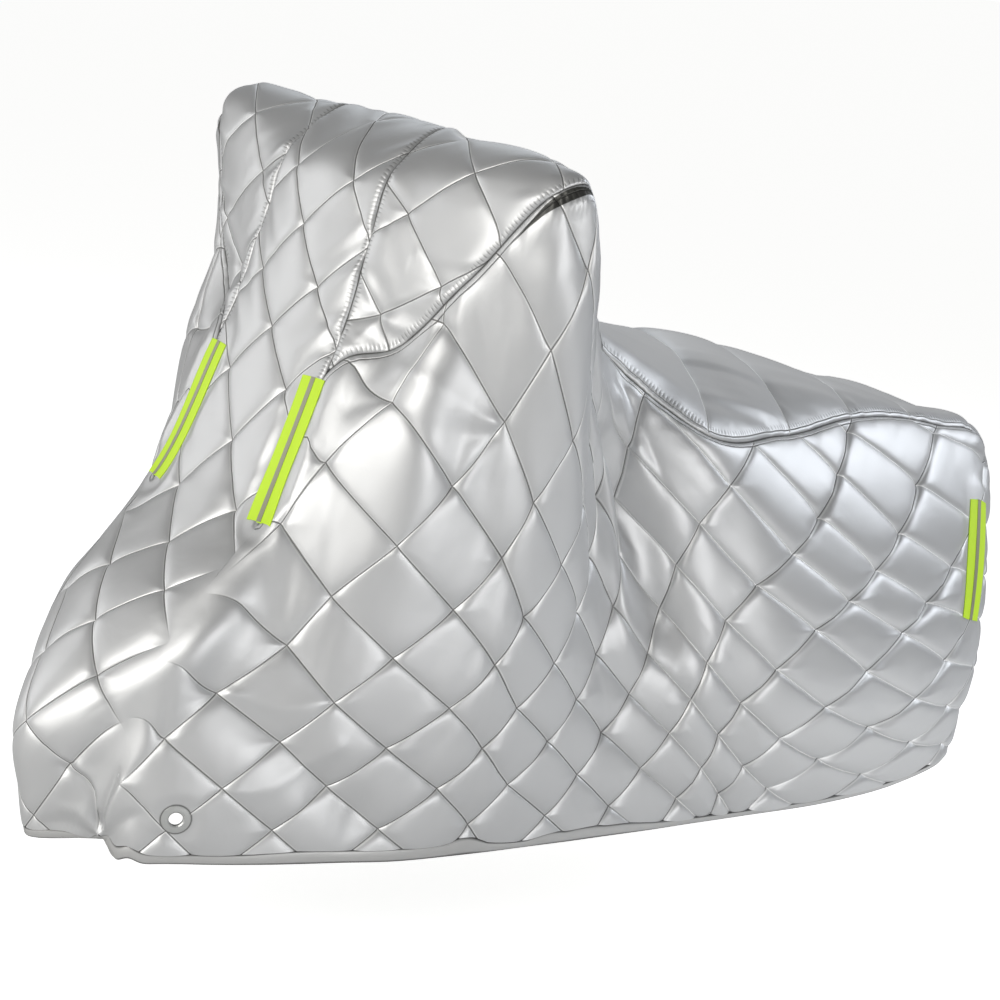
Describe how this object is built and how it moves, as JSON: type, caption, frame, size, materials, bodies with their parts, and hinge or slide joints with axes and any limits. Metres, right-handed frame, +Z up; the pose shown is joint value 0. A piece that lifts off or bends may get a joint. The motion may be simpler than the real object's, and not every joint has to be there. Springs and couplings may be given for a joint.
{
  "type": "quilted fitted vehicle cover",
  "caption": "Quilted silver cover, fitted: tall front over wide shoulders, sloping back, rounded seat, full skirts with a bound hem, reflective strips and lacing eyelets.",
  "frame": {"origin": "on the underside of the cloth at the top of the cover, on its centre line, where it rests on what it covers", "axes": "+X from the front to the tail, +Y to the far side of the picture, +Z up"},
  "size_m": [1.9403, 0.9156, 1.1217],
  "materials": {
    "silver_cloth": "satin silver coated cloth, quilted over thin wadding",
    "hem_tape": "folded binding of the same silver cloth",
    "lime_strip": "fluorescent yellow-green woven tape",
    "grey_stripe": "grey retroreflective stripe",
    "eyelet_metal": "pressed metal ring"
  },
  "bodies": {
    "root": {"front_panel": "silver_cloth", "seat_panel": "silver_cloth", "near_side_panel": "silver_cloth", "far_side_panel": "silver_cloth", "near_front_corner": "silver_cloth", "far_front_corner": "silver_cloth", "near_eyelet_patch": "silver_cloth", "far_eyelet_patch": "silver_cloth", "near_brow_panel": "silver_cloth", "far_brow_panel": "silver_cloth", "near_hem_tape": "hem_tape", "far_hem_tape": "hem_tape", "near_eyelet": "eyelet_metal", "far_eyelet": "eyelet_metal", "near_front_strip": "lime_strip", "near_rear_strip": "lime_strip", "far_front_strip": "lime_strip", "far_rear_strip": "lime_strip", "near_front_stripe": "grey_stripe", "near_rear_stripe": "grey_stripe", "far_front_stripe": "grey_stripe", "far_rear_stripe": "grey_stripe"}
  },
  "joints": []
}
